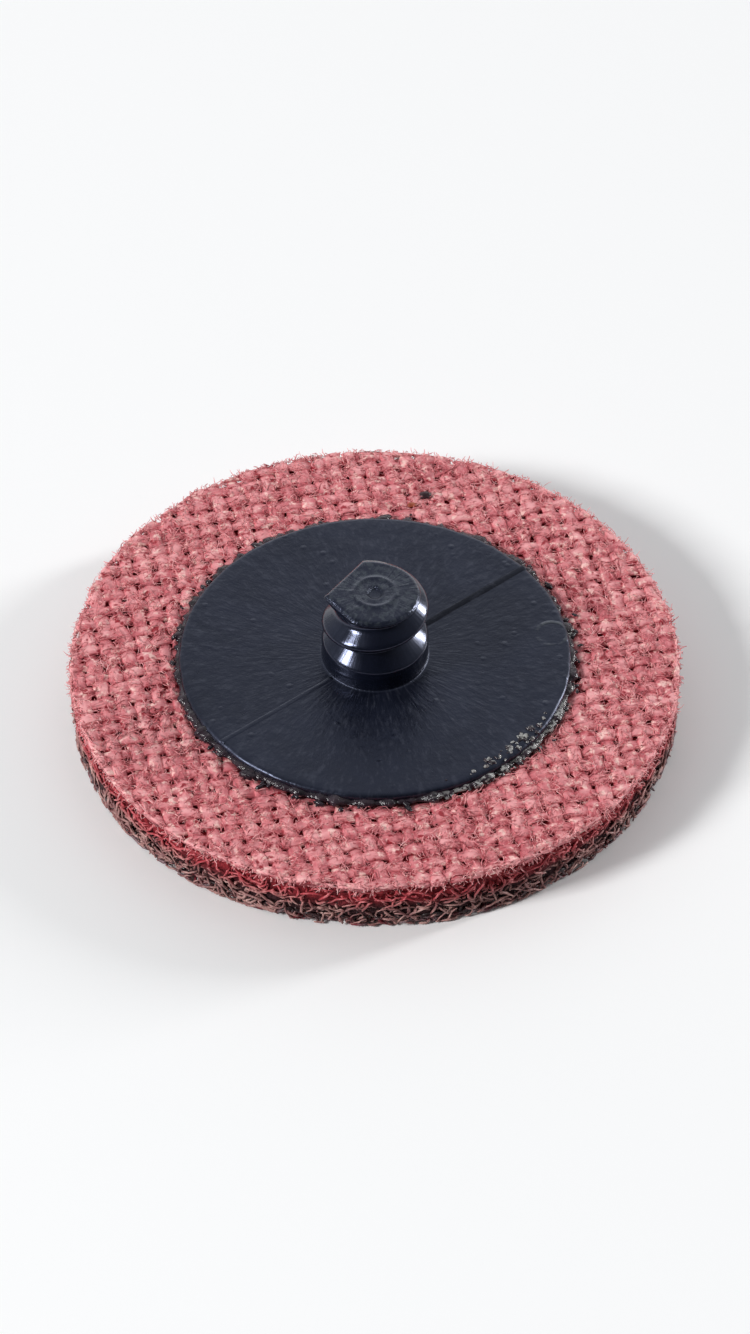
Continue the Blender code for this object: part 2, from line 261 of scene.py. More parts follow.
def keep(mesh, surface, node):
    """Makes the finished object of a piece, named as its mesh is, and ties it to the frame."""
    obj = bpy.data.objects.new(mesh.name, mesh)
    bpy.context.scene.collection.objects.link(obj)
    mesh.materials.clear()
    mesh.materials.append(surface)
    for polygon in mesh.polygons:
        polygon.use_smooth = True
    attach(obj, "root")
    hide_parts(node)
    return obj


def mesh_from(bm, name):
    mesh = bpy.data.meshes.new(name)
    bm.to_mesh(mesh)
    bm.free()
    return mesh


def join(tree, value, socket):
    """Links a socket to an input, or sets the input to a plain value."""
    if isinstance(value, bpy.types.NodeSocket):
        tree.links.new(value, socket)
    elif isinstance(value, (tuple, list)) and socket.type == "RGBA":
        socket.default_value = (*value[:3], 1)
    else:
        socket.default_value = value


def put(tree, kind, *leading, **values):
    """Adds a node. Leading values go to its first inputs; named ones to its settings or other inputs."""
    node = tree.nodes.new(kind)
    for key, value in values.items():
        if hasattr(node, key):
            setattr(node, key, value)
        else:
            join(tree, value, node.inputs[key.replace("_", " ")])
    for socket, value in zip(node.inputs, leading):
        join(tree, value, socket)
    return node


def math_node(tree, operation, first, second=0.0, clamp=False):
    return put(tree, "ShaderNodeMath", first, second, operation=operation, use_clamp=clamp).outputs[0]


def weighed(tree, *terms):
    """Sum of (value, share) terms."""
    total, *others = [math_node(tree, "MULTIPLY", value, share) for value, share in terms]
    for part in others:
        total = math_node(tree, "ADD", total, part)
    return total


def spread(tree, value, low, high, least=0.0, most=1.0):
    """Carries the range from low to high over to the range from least to most."""
    node = put(tree, "ShaderNodeMapRange", value, low, high, least, most, clamp=True)
    return node.outputs["Result"]


def soft_noise(tree, vector, scale, detail=2.0, roughness=0.5):
    node = put(tree, "ShaderNodeTexNoise", Vector=vector, Scale=scale, Detail=detail, Roughness=roughness)
    return node.outputs["Fac"]


def axis_of(tree, vector, axis):
    return put(tree, "ShaderNodeSeparateXYZ", vector).outputs[axis]


def length_of(tree, vector):
    return put(tree, "ShaderNodeVectorMath", vector, operation="LENGTH").outputs["Value"]


def turned(tree, vector, angle):
    return put(tree, "ShaderNodeMapping", Vector=vector, Rotation=(0, 0, angle)).outputs["Vector"]


def height_share(tree, vector, low, high):
    """0 at the low height and 1 at the high one."""
    return spread(tree, axis_of(tree, vector, "Z"), low, high)


def rim_share(tree, vector):
    """0 over the disc, rising to 1 at its cut rim."""
    flat = put(tree, "ShaderNodeVectorMath", vector, (1, 1, 0), operation="MULTIPLY").outputs[0]
    return spread(tree, length_of(tree, flat), DISC_RADIUS - 0.75 * MM, DISC_RADIUS - 0.10 * MM)


def fleck(tree, vector, scale, low, high):
    """Mask of scattered flecks: 0 where the noise is at low, 1 where it is at high."""
    return spread(tree, soft_noise(tree, vector, scale, 2.0, 0.6), low, high)


def ramp(tree, source, stops):
    """Colour ramp from (position, linear colour) stops."""
    node = put(tree, "ShaderNodeValToRGB", source)
    elements = node.color_ramp.elements
    while len(elements) < len(stops):
        elements.new(0.5)
    for element, (position, colour) in zip(elements, stops):
        element.position = position
        element.color = (*colour, 1)
    return node.outputs["Color"]


def blend_colours(tree, share, first, second):
    node = put(tree, "ShaderNodeMix", data_type="RGBA", Factor=share, A=first, B=second)
    return next(out for out in node.outputs if out.type == "RGBA")


def fibre_group():
    """Shared effect: fine lines along one axis, broken up by grains, for bump and tint."""
    group = bpy.data.node_groups.get("fibre_grain")
    if group:
        return group
    group = bpy.data.node_groups.new("fibre_grain", "ShaderNodeTree")
    add = group.interface.new_socket
    add("Vector", in_out="INPUT", socket_type="NodeSocketVector")
    add("Scale", in_out="INPUT", socket_type="NodeSocketFloat")
    add("Stretch", in_out="INPUT", socket_type="NodeSocketVector")
    add("Height", in_out="OUTPUT", socket_type="NodeSocketFloat")
    add("Tint", in_out="OUTPUT", socket_type="NodeSocketFloat")
    source = group.nodes.new("NodeGroupInput").outputs
    sink = group.nodes.new("NodeGroupOutput").inputs
    drawn = put(group, "ShaderNodeVectorMath", source["Vector"], source["Stretch"], operation="MULTIPLY")
    lines = soft_noise(group, drawn.outputs[0], source["Scale"], 3.0, 0.6)
    coarse = soft_noise(group, source["Vector"], math_node(group, "MULTIPLY", source["Scale"], 0.27))
    join(group, lines, sink["Height"])
    join(group, weighed(group, (lines, 0.45), (coarse, 0.55)), sink["Tint"])
    return group


def grain(tree, vector, scale, stretch=(1.0, 1.0, 1.0)):
    """Tint and height of the shared effect."""
    node = put(tree, "ShaderNodeGroup", node_tree=fibre_group(), Vector=vector, Scale=scale, Stretch=stretch)
    return node.outputs["Tint"], node.outputs["Height"]


def blank_material(name, roughness, specular=0.5):
    """A new material, its tree, its shader and the object's own coordinates."""
    made = bpy.data.materials.new(name)
    made.use_nodes = True
    tree = made.node_tree
    shader = tree.nodes["Principled BSDF"]
    shader.inputs["Roughness"].default_value = roughness
    shader.inputs["Specular IOR Level"].default_value = specular
    return made, tree, shader, put(tree, "ShaderNodeTexCoord").outputs["Object"]


def dress(tree, shader, colour, height, strength, depth):
    """Gives the shader its colour and its bump."""
    join(tree, colour, shader.inputs["Base Color"])
    bump = put(tree, "ShaderNodeBump", Strength=strength, Distance=depth, Height=height)
    join(tree, bump.outputs["Normal"], shader.inputs["Normal"])


def cloth_material(name, settings, angle):
    """Resin-coated yarn with fine fibres along it: dark red low down as painted shade, pink on the crests and
    cream flecks as painted highlights.
    """
    made, tree, shader, place = blank_material(name, 0.5)
    tint, lines = grain(tree, turned(tree, place, -angle), 4200.0, (0.2, 1.0, 1.0))
    # Height share: low parts of the yarn darker as painted shade, crests lighter as painted highlight.
    height_shading = height_share(tree, place, CLOTH_BASE + 0.42 * MM, CLOTH_TOP - 0.02 * MM)
    wear = soft_noise(tree, place, 520.0, 3.0, 0.65)
    shade = weighed(tree, (height_shading, 0.62), (tint, 0.95), (wear, 1.0), (rim_share(tree, place), 0.30))
    shade = math_node(tree, "SUBTRACT", shade, 0.80, clamp=True)
    colour = ramp(tree, shade, ((0.08, settings.deep), (0.46, settings.middle), (0.86, settings.light)))
    # Cream flecks: painted highlights.
    colour = blend_colours(tree, fleck(tree, place, 1500.0, 0.555, 0.67), colour, srgb(248, 202, 194))
    colour = blend_colours(tree, fleck(tree, place, 1250.0, 0.425, 0.33), colour, srgb(156, 38, 50))
    dress(tree, shader, colour, lines, 0.8, 0.08 * MM)
    return made


def strand_material(name, stops, scale, roughness, zone=None, stain=None):
    """Coated fibre whose colour wanders from strand to strand.

    zone is (low, high, stops): above these heights the fibre has the zone's colours. stain is the colour
    of its stained patches.
    """
    made, tree, shader, place = blank_material(name, roughness)
    tint, lines = grain(tree, place, 7000.0)
    shade = weighed(tree, (soft_noise(tree, place, scale, 4.0, 0.75), 0.75), (tint, 0.25))
    colour = ramp(tree, shade, stops)
    if stain:
        colour = blend_colours(tree, fleck(tree, place, 820.0, 0.52, 0.60), colour, stain)
    if zone:
        low, high, others = zone
        colour = blend_colours(tree, height_share(tree, place, low, high), colour, ramp(tree, shade, others))
    dress(tree, shader, colour, lines, 0.7, 0.05 * MM)
    return made


def strands(name, paths, radius, sides=4):
    """A mesh of thin tubes along short open paths; each path is a list of (point, thickness share)."""
    scene = bpy.context.scene
    profile = bpy.data.curves.new(name + "_profile", "CURVE")
    outline = profile.splines.new("POLY")
    outline.points.add(sides - 1)
    outline.use_cyclic_u = True
    for i, point in enumerate(outline.points):
        point.co = (*polar(radius, math.tau * i / sides), 1)
    section = bpy.data.objects.new(name + "_profile", profile)
    scene.collection.objects.link(section)
    curve = bpy.data.curves.new(name, "CURVE")
    curve.dimensions = "3D"
    curve.bevel_mode = "OBJECT"
    curve.bevel_object = section
    curve.use_fill_caps = True
    for path in paths:
        spline = curve.splines.new("POLY")
        spline.points.add(len(path) - 1)
        for point, (place, share) in zip(spline.points, path):
            point.co = (*place, 1)
            point.radius = share
    guide = bpy.data.objects.new(name + "_guide", curve)
    scene.collection.objects.link(guide)
    graph = bpy.context.evaluated_depsgraph_get()
    mesh = bpy.data.meshes.new_from_object(guide.evaluated_get(graph))
    mesh.name = name
    bm = bmesh.new()
    bm.from_mesh(mesh)
    bmesh.ops.remove_doubles(bm, verts=bm.verts, dist=0.1 * WELD)
    bmesh.ops.recalc_face_normals(bm, faces=bm.faces)
    bm.to_mesh(mesh)
    bm.free()
    for helper, data in ((guide, curve), (section, profile)):
        bpy.data.objects.remove(helper, do_unlink=True)
        bpy.data.curves.remove(data)
    return mesh


def held(point, margin, low, high, inner=0.0):
    """Pulls a point back inside the cut rim, outside an inner radius and between two heights."""
    reach = point.xy.length
    most = cut_radius(math.atan2(point.y, point.x)) - margin
    if reach > most:
        point.xy *= most / reach
    if reach < inner:
        point.xy *= inner / reach
    point.z = min(high, max(low, point.z))
    return point


def curl(rng, start, heading, length, pieces, bend, allow):
    """A wandering path of the given length; allow() may move each point."""
    points = [start.copy()]
    heading = heading.normalized()
    for _ in range(pieces):
        swerve = Vector((rng.gauss(0, bend), rng.gauss(0, bend), rng.gauss(0, bend)))
        heading = (heading + swerve).normalized()
        points.append(allow(points[-1] + heading * (length / pieces)))
    return points


def tapered(rng, points, thickness, lumps=0.0):
    """Pairs each point with its thickness, thinning at both ends and swelling where grit clings."""
    last = len(points) - 1
    return [
        (point, thickness * (TIP_SHARE if i in (0, last) else 1.0) * (1 + lumps * rng.random()))
        for i, point in enumerate(points)
    ]


def drawn_rings(bm, rows, columns, place):
    """Draws a circle out ring by ring; place(row, angle) gives each point. Gives the first and last loops."""
    angles = bm.verts.layers.float.new("angle")
    ring = bmesh.ops.create_circle(bm, cap_ends=False, segments=columns, radius=1.0)["verts"]
    first = edges = list(dict.fromkeys(edge for vert in ring for edge in vert.link_edges))
    for vert in ring:
        vert[angles] = math.atan2(vert.co.y, vert.co.x)
        vert.co = place(0, vert[angles])
    for row in range(1, rows):
        out = bmesh.ops.extrude_edge_only(bm, edges=edges)["geom"]
        fresh = {part for part in out if isinstance(part, bmesh.types.BMVert)}
        drawn = [part for part in out if isinstance(part, bmesh.types.BMEdge)]
        edges = [edge for edge in drawn if fresh.issuperset(edge.verts)]
        for vert in fresh:
            vert.co = place(row, vert[angles])
    return first, edges


def turned_form(rows, columns, place):
    """A closed form, drawn out ring by ring and capped at both ends."""
    bm = bmesh.new()
    for loop in drawn_rings(bm, rows, columns, place):
        cap = bmesh.ops.contextual_create(bm, geom=loop)["faces"]
        bmesh.ops.poke(bm, faces=cap)
    bmesh.ops.recalc_face_normals(bm, faces=bm.faces)
    return bm


class DISC_OT_stage(bpy.types.Operator):
    """Pale floor and room, two soft lamps and the camera."""

    bl_idname = "disc.stage"
    bl_label = "Stage"

    def execute(self, context):
        scene = context.scene
        scene.view_settings.view_transform = "Standard"
        bm = bmesh.new()
        bmesh.ops.create_grid(bm, x_segments=1, y_segments=1, size=FLOOR_REACH)
        floor = bpy.data.objects.new("floor", mesh_from(bm, "floor"))
        scene.collection.objects.link(floor)
        made, _, shader, _ = blank_material("pale_floor", 0.9, 0.1)
        shader.inputs["Base Color"].default_value = (0.95, 0.95, 0.95, 1)
        floor.data.materials.append(made)
        self.surround(scene)
        for lamp in LAMPS:
            self.lamp(*lamp)
        self.camera(scene)
        return {"FINISHED"}

    def surround(self, scene):
        """Pale room, dim behind the camera and bright low at the back; the camera sees it white."""
        world = bpy.data.worlds.new("studio")
        scene.world = world
        world.use_nodes = True
        tree = world.node_tree
        soft = tree.nodes["Background"]
        soft.inputs["Color"].default_value = (0.95, 0.975, 1.0, 1)
        back = axis_of(tree, put(tree, "ShaderNodeTexCoord").outputs["Generated"], "Y")
        room = spread(tree, back, -0.75, 0.45, 0.05, 0.56)
        horizon = spread(tree, back, 0.74, 1.0)
        join(tree, math_node(tree, "ADD", room, horizon), soft.inputs["Strength"])
        white = put(tree, "ShaderNodeBackground", (1.0, 1.0, 1.0))
        seen = put(tree, "ShaderNodeLightPath").outputs["Is Camera Ray"]
        chooser = put(tree, "ShaderNodeMixShader", seen, soft.outputs[0], white.outputs[0])
        join(tree, chooser.outputs[0], tree.nodes["World Output"].inputs["Surface"])

    def lamp(self, name, place, width, height, power):
        data = bpy.data.lights.new(name, "AREA")
        data.shape = "RECTANGLE"
        data.size = width
        data.size_y = height
        data.energy = power
        lamp = bpy.data.objects.new(name, data)
        lamp.location = place
        lamp.rotation_euler = Vector(place).to_track_quat("Z", "Y").to_euler()
        bpy.context.scene.collection.objects.link(lamp)

    def camera(self, scene):
        lens = bpy.data.cameras.new("camera")
        lens.sensor_fit = "HORIZONTAL"
        lens.sensor_width = SENSOR_WIDTH
        lens.lens = SENSOR_WIDTH * CAMERA_DISTANCE / VIEW_WIDTH
        lens.clip_start = 0.01
        lens.shift_y = CAMERA_SHIFT
        camera = bpy.data.objects.new("camera", lens)
        scene.collection.objects.link(camera)
        scene.camera = camera
        away = Vector((0, -math.cos(CAMERA_ELEVATION), math.sin(CAMERA_ELEVATION)))
        camera.location = Vector((0, 0, AIM_HEIGHT)) + away * CAMERA_DISTANCE
        camera.rotation_euler = away.to_track_quat("Z", "Y").to_euler()


class DISC_OT_web(bpy.types.Operator):
    """Nonwoven mat: a lumpy heart, and coated strands and clots over its abrasive face and its cut side."""

    bl_idname = "disc.web"
    bl_label = "Abrasive web"

    def execute(self, context):
        web = context.scene.disc.web
        rng = random.Random(41)
        self.heart(web)
        stops = (
            (0.34, srgb(50, 26, 31)),
            (0.44, web.fibre_colour),
            (0.55, srgb(138, 108, 114)),
            (0.66, srgb(204, 176, 180)),
        )
        # Strands deeper in the mat turn to the pit colour: painted shade of the depths.
        depth_shade = (0.30 * MM, 1.05 * MM, ((0.3, web.pit_shade), (0.7, web.pit_shade)))
        face = strand_material("face_strand", stops, 1100.0, 0.42, depth_shade, srgb(122, 34, 46))
        nodules = strands("abrasive_nodules", self.nodule_paths(rng, web), NODULE_RADIUS, 5)
        keep(nodules, face, "abrasive_web")
        lying = strands("abrasive_face_strands", self.face_paths(rng, web), web.strand_radius)
        keep(lying, face, "abrasive_web")
        stops = (
            (0.30, srgb(70, 30, 34)),
            (0.44, srgb(132, 84, 84)),
            (0.56, srgb(176, 132, 126)),
            (0.70, srgb(214, 178, 170)),
        )
        reds = ((0.36, srgb(138, 34, 44)), (0.50, web.crimson), (0.66, srgb(230, 132, 136)))
        side = strand_material("side_strand", stops, 900.0, 0.45, (*DYED_ZONE, reds))
        cut = strands("cut_side_strands", self.side_paths(rng, web), web.strand_radius * 0.9)
        keep(cut, side, "abrasive_web")
        return {"FINISHED"}

    def heart(self, web):
        """The body of the mat, seen between the strands; its near-black ground is painted shade of the pits,
        its crimson is dye.
        """
        columns, floor_rows, side_rows, top_rows = 220, 26, 12, 26
        low, high = 0.95 * MM, WEB_TOP + 0.42 * MM
        inner = 0.5 * MM
        floor_lumps, side_lumps, top_lumps = 0.55 * MM, 0.30 * MM, 0.1 * MM

        def place(row, angle):
            rim = cut_radius(angle) - SIDE_ROOM
            on_floor, on_side = row < floor_rows, row < floor_rows + side_rows
            if on_floor:
                radius = mix(inner, rim - 0.3 * MM, row / floor_rows)
                z = low
            elif on_side:
                radius = rim
                z = mix(low + 0.1 * MM, high - 0.1 * MM, (row - floor_rows) / (side_rows - 1))
            else:
                radius = mix(rim - 0.1 * MM, inner, (row - floor_rows - side_rows + 1) / top_rows)
                z = high
            x, y = radius * math.cos(angle), radius * math.sin(angle)
            lump = ripple(x, y, z, 0.9 * MM, 4.0) + 0.6 * ripple(x, y, z, 0.4 * MM, 9.0)
            if on_floor:
                return Vector((x, y, z + floor_lumps * lump))
            if on_side:
                swell = 1 + side_lumps * lump / radius
                return Vector((x * swell, y * swell, z))
            dent = 0.45 * MM * smooth_step(PLATE_RADIUS + PRESS_REACH, PLATE_RADIUS, radius)
            return Vector((x, y, z - dent + top_lumps * (lump - 1)))

        bm = turned_form(floor_rows + side_rows + top_rows, columns, place)
        made, tree, shader, spot = blank_material("mat_heart", 0.7, 0.15)
        tint, lines = grain(tree, spot, 2400.0)
        # The near-black ground stands in for the shade in the mat's pits: painted shade. The crimson ramps
        # below it are dye.
        stops = ((0.40, web.pit_shade), (0.62, srgb(70, 42, 46)), (0.8, web.fibre_colour))
        ground = ramp(tree, tint, stops)
        cut = ramp(tree, tint, ((0.38, srgb(84, 16, 24)), (0.6, srgb(158, 46, 54))))
        under_cloth = ramp(tree, tint, ((0.36, srgb(136, 28, 38)), (0.6, srgb(190, 62, 70))))
        reds = blend_colours(tree, height_share(tree, spot, WEB_TOP, WEB_TOP + 0.15 * MM), cut, under_cloth)
        colour = blend_colours(tree, height_share(tree, spot, *DYED_ZONE), ground, reds)
        dress(tree, shader, colour, lines, 1.0, 0.35 * MM)
        keep(mesh_from(bm, "web_heart"), made, "abrasive_web")

    def nodule_paths(self, rng, web):
        """Clots of resin and grit where strands cross, over the abrasive face and the cut side."""
        paths = []
        for i in range(web.nodules):
            angle = rng.uniform(0, math.tau)
            rim = cut_radius(angle) - SIDE_ROOM
            if i % 4:
                reach, z = rim * math.sqrt(rng.random()), rng.uniform(0.30, 0.95) * MM
            else:
                reach, z = rim - abs(rng.gauss(0, 0.2)) * MM, rng.uniform(0.35, 2.4) * MM
            centre = polar(reach, angle, z)
            along = Vector((rng.gauss(0, 1), rng.gauss(0, 1), rng.gauss(0, 0.5))).normalized()
            half = rng.uniform(0.08, 0.16) * MM
            shares = (0.4, rng.uniform(0.8, 1.3), rng.uniform(0.7, 1.2), 0.4)
            paths.append([(centre + along * half * k, share) for k, share in zip((-1, -0.4, 0.4, 1), shares)])
        return paths

    def face_paths(self, rng, web):
        """Strands that wander over the abrasive face at several depths."""
        paths = []
        lift = web.strand_radius * 2.5
        allow = partial(held, margin=lift, low=lift, high=1.15 * MM)
        for _ in range(web.face_strands):
            radius = DISC_RADIUS * math.sqrt(rng.random()) * 0.995
            angle = rng.uniform(0, math.tau)
            heading = rng.uniform(0, math.tau)
            start = polar(radius, angle, rng.uniform(lift, 0.95 * MM))
            along = polar(1, heading, rng.gauss(0, 0.12))
            length = rng.uniform(1.4, 3.6) * MM
            points = curl(rng, start, along, length, 4, 0.62, allow)
            paths.append(tapered(rng, points, rng.uniform(0.7, 1.25), 0.9))
        return paths

    def side_paths(self, rng, web):
        """Cut strands round the side: most run round or across it, every third stands out as a short end."""
        paths = []
        lift = web.strand_radius * 2.1
        allow = partial(held, margin=lift * 0.5, low=lift, high=WEB_TOP)
        for i in range(web.side_strands):
            angle = rng.uniform(0, math.tau)
            depth = abs(rng.gauss(0, 0.42)) * MM
            radius = cut_radius(angle) - depth - 0.1 * MM
            start = polar(radius, angle, rng.uniform(0.1, 4.0) * MM)
            out = polar(1, angle)
            sideways = Vector((-out.y, out.x, 0))
            if i % 3 == 0:
                along = out + sideways * rng.gauss(0, 0.7) + Vector((0, 0, rng.gauss(0, 0.6)))
                start -= out * 0.5 * MM
                length = rng.uniform(0.6, 1.2) * MM
                points = curl(rng, start, along, length, 3, 0.3, allow)
            else:
                along = sideways * rng.choice((-1, 1)) + Vector((0, 0, rng.gauss(0, 0.75)))
                along += out * rng.gauss(0, 0.2)
                length = rng.uniform(1.0, 3.0) * MM
                points = curl(rng, start, along, length, 4, 0.4, allow)
            paths.append(tapered(rng, points, rng.uniform(0.7, 1.2), 0.6))
        return paths


class DISC_OT_cloth(bpy.types.Operator):
    """Woven back: warp and weft yarns, needled fuzz, frayed ends and two stray clots."""

    bl_idname = "disc.cloth"
    bl_label = "Woven cloth"

    def execute(self, context):
        cloth = context.scene.disc.cloth
        rng = random.Random(17)
        warp = cloth_material("warp_yarn", cloth, cloth.turn + math.pi / 2)
        weft = cloth_material("weft_yarn", cloth, cloth.turn)
        self.yarns(cloth, "warp_yarns", warp, True)
        self.yarns(cloth, "weft_yarns", weft, False)
        self.fuzz(cloth, rng)
        self.frayed_ends(cloth, rng)
        self.specks()
        return {"FINISHED"}

    def yarns(self, cloth, name, surface, upright):
        """Flat tubes that pass over and under the yarns that cross them."""
        middle = mix(CLOTH_BASE, CLOTH_TOP, 0.58)
        sunk = BEAD_BASE - 0.14 * MM  # nothing of a yarn rises past this under the button
        sway = 0.12 * MM * (1 if upright else -1)
        half_width, half_height = cloth.yarn_width / 2, cloth.yarn_height / 2
        sides = 8
        bm = bmesh.new()
        count = int(DISC_RADIUS / cloth.pitch)
        spin = Matrix.Rotation(cloth.turn, 3, "Z")
        for k in range(-count, count + 1):
            across = k * cloth.pitch
            half = math.sqrt(max(0.0, (DISC_RADIUS - RIM_INSET) ** 2 - across**2))
            if half < cloth.pitch:
                continue
            seed = 3.1 * k + (50 if upright else 0)
            steps = round(2 * half / (cloth.pitch / 5))
            verts = bmesh.ops.create_grid(bm, x_segments=steps, y_segments=sides, size=0.5)["verts"]
            for vert in verts:
                turn = math.tau * (vert.co.y + 0.5)
                along = 2 * half * vert.co.x
                swell = 1 + 0.38 * ripple(along, across, 0, 0.9 * MM, seed)
                wander = 0.32 * MM * ripple(along, across, 0, 2.3 * MM, seed + 7)
                rise = 0.13 * MM * ripple(along, across, 0, 1.1 * MM, seed + 19)
                side = across + wander + half_width * swell * math.cos(turn)
                facing = math.atan2(along, side) if upright else math.atan2(side, along)
                cut = cut_radius(facing + cloth.turn)
                along *= math.sqrt(max(0.0001 * half**2, cut**2 - side**2)) / half
                height = sway * math.cos(math.pi * along / cloth.pitch + math.pi * k)
                z = middle + height + rise + half_height * swell * math.sin(turn)
                spot = spin @ (Vector((side, along, 0)) if upright else Vector((along, side, 0)))
                press = smooth_step(PLATE_RADIUS + PRESS_REACH, PLATE_RADIUS + 0.1 * MM, spot.length)
                z = mix(z, min(z - 0.12 * MM, sunk), press)
                vert.co = Vector((spot.x, spot.y, min(z, CLOTH_TOP)))
        bmesh.ops.remove_doubles(bm, verts=bm.verts, dist=WELD)
        ends = [e for e in bm.edges if e.is_boundary]
        bmesh.ops.holes_fill(bm, edges=ends, sides=sides)
        bmesh.ops.recalc_face_normals(bm, faces=bm.faces)
        keep(mesh_from(bm, name), surface, "scrim_backing")

    def fuzz(self, cloth, rng):
        """Fibres that the needles drew up through the cloth and that lie over its yarns."""
        inner = PLATE_RADIUS + 0.5 * MM
        low, high = CLOTH_TOP - 0.35 * MM, CLOTH_TOP + 0.12 * MM
        allow = partial(held, margin=-0.05 * MM, low=low, high=high, inner=inner)
        paths = []
        for _ in range(cloth.fuzz_count):
            reach = math.sqrt(rng.uniform(inner**2, DISC_RADIUS**2))
            angle = rng.uniform(0, math.tau)
            heading = rng.uniform(0, math.tau)
            start = polar(reach, angle, CLOTH_TOP - rng.uniform(0, 0.25) * MM)
            along = polar(1, heading, rng.gauss(0, 0.2))
            points = curl(rng, start, along, rng.uniform(0.5, 1.5) * MM, 3, 0.45, allow)
            paths.append(tapered(rng, points, rng.uniform(0.6, 1.5)))
        stops = (
            (0.34, cloth.deep),
            (0.45, cloth.middle),
            (0.56, cloth.light),
            (0.68, srgb(243, 200, 200)),
        )
        made = strand_material("needled_fuzz", stops, 800.0, 0.6)
        keep(strands("needled_fuzz", paths, FUZZ_RADIUS, 3), made, "scrim_backing")

    def frayed_ends(self, cloth, rng):
        """Cut ends of yarn fibres that stand out round the rim."""
        paths = []
        for _ in range(cloth.frayed_count):
            angle = rng.uniform(0, math.tau)
            radius = cut_radius(angle) - 0.25 * MM
            start = polar(radius, angle, rng.uniform(CLOTH_BASE + 0.05 * MM, CLOTH_TOP - 0.05 * MM))
            stray = Vector((rng.gauss(0, 0.5), rng.gauss(0, 0.5), rng.gauss(0, 0.4)))
            length = rng.uniform(0.25, 0.75) * MM * (1.7 if rng.random() < 0.08 else 1.0)
            points = curl(rng, start, polar(1, angle) + stray, length, 3, 0.35, lambda point: point)
            paths.append(tapered(rng, points, rng.uniform(0.6, 1.4)))
        stops = ((0.32, cloth.middle), (0.50, cloth.light), (0.66, srgb(240, 205, 203)))
        made = strand_material("frayed_fibre", stops, 1100.0, 0.6)
        keep(strands("frayed_ends", paths, FRAY_RADIUS, 3), made, "scrim_backing")

    def specks(self):
        """Two stray clots that stick to the cloth behind the button, one dark and one rust brown."""
        bm = bmesh.new()
        for x, y, size in CLOTS:
            clot = bmesh.ops.create_icosphere(bm, subdivisions=3, radius=size * MM)["verts"]
            for vert in clot:
                vert.co *= 1 + 0.4 * ripple(*vert.co, size * MM, x)
            bmesh.ops.scale(bm, vec=(1.2, 0.9, 0.5), verts=clot)
            bmesh.ops.translate(bm, vec=Vector((x * MM, y * MM, CLOTH_TOP + 0.04 * MM)), verts=clot)
        made, tree, shader, place = blank_material("stray_clot", 0.45)
        dark = math_node(tree, "GREATER_THAN", axis_of(tree, place, "X"), CLOT_BORDER)
        tint, lines = grain(tree, place, 5000.0)
        rust = ramp(tree, tint, ((0.35, srgb(118, 42, 26)), (0.65, srgb(170, 84, 52))))
        colour = blend_colours(tree, dark, rust, srgb(44, 18, 26))
        dress(tree, shader, colour, lines, 0.8, 0.06 * MM)
        keep(mesh_from(bm, "stray_clots"), made, "scrim_backing")


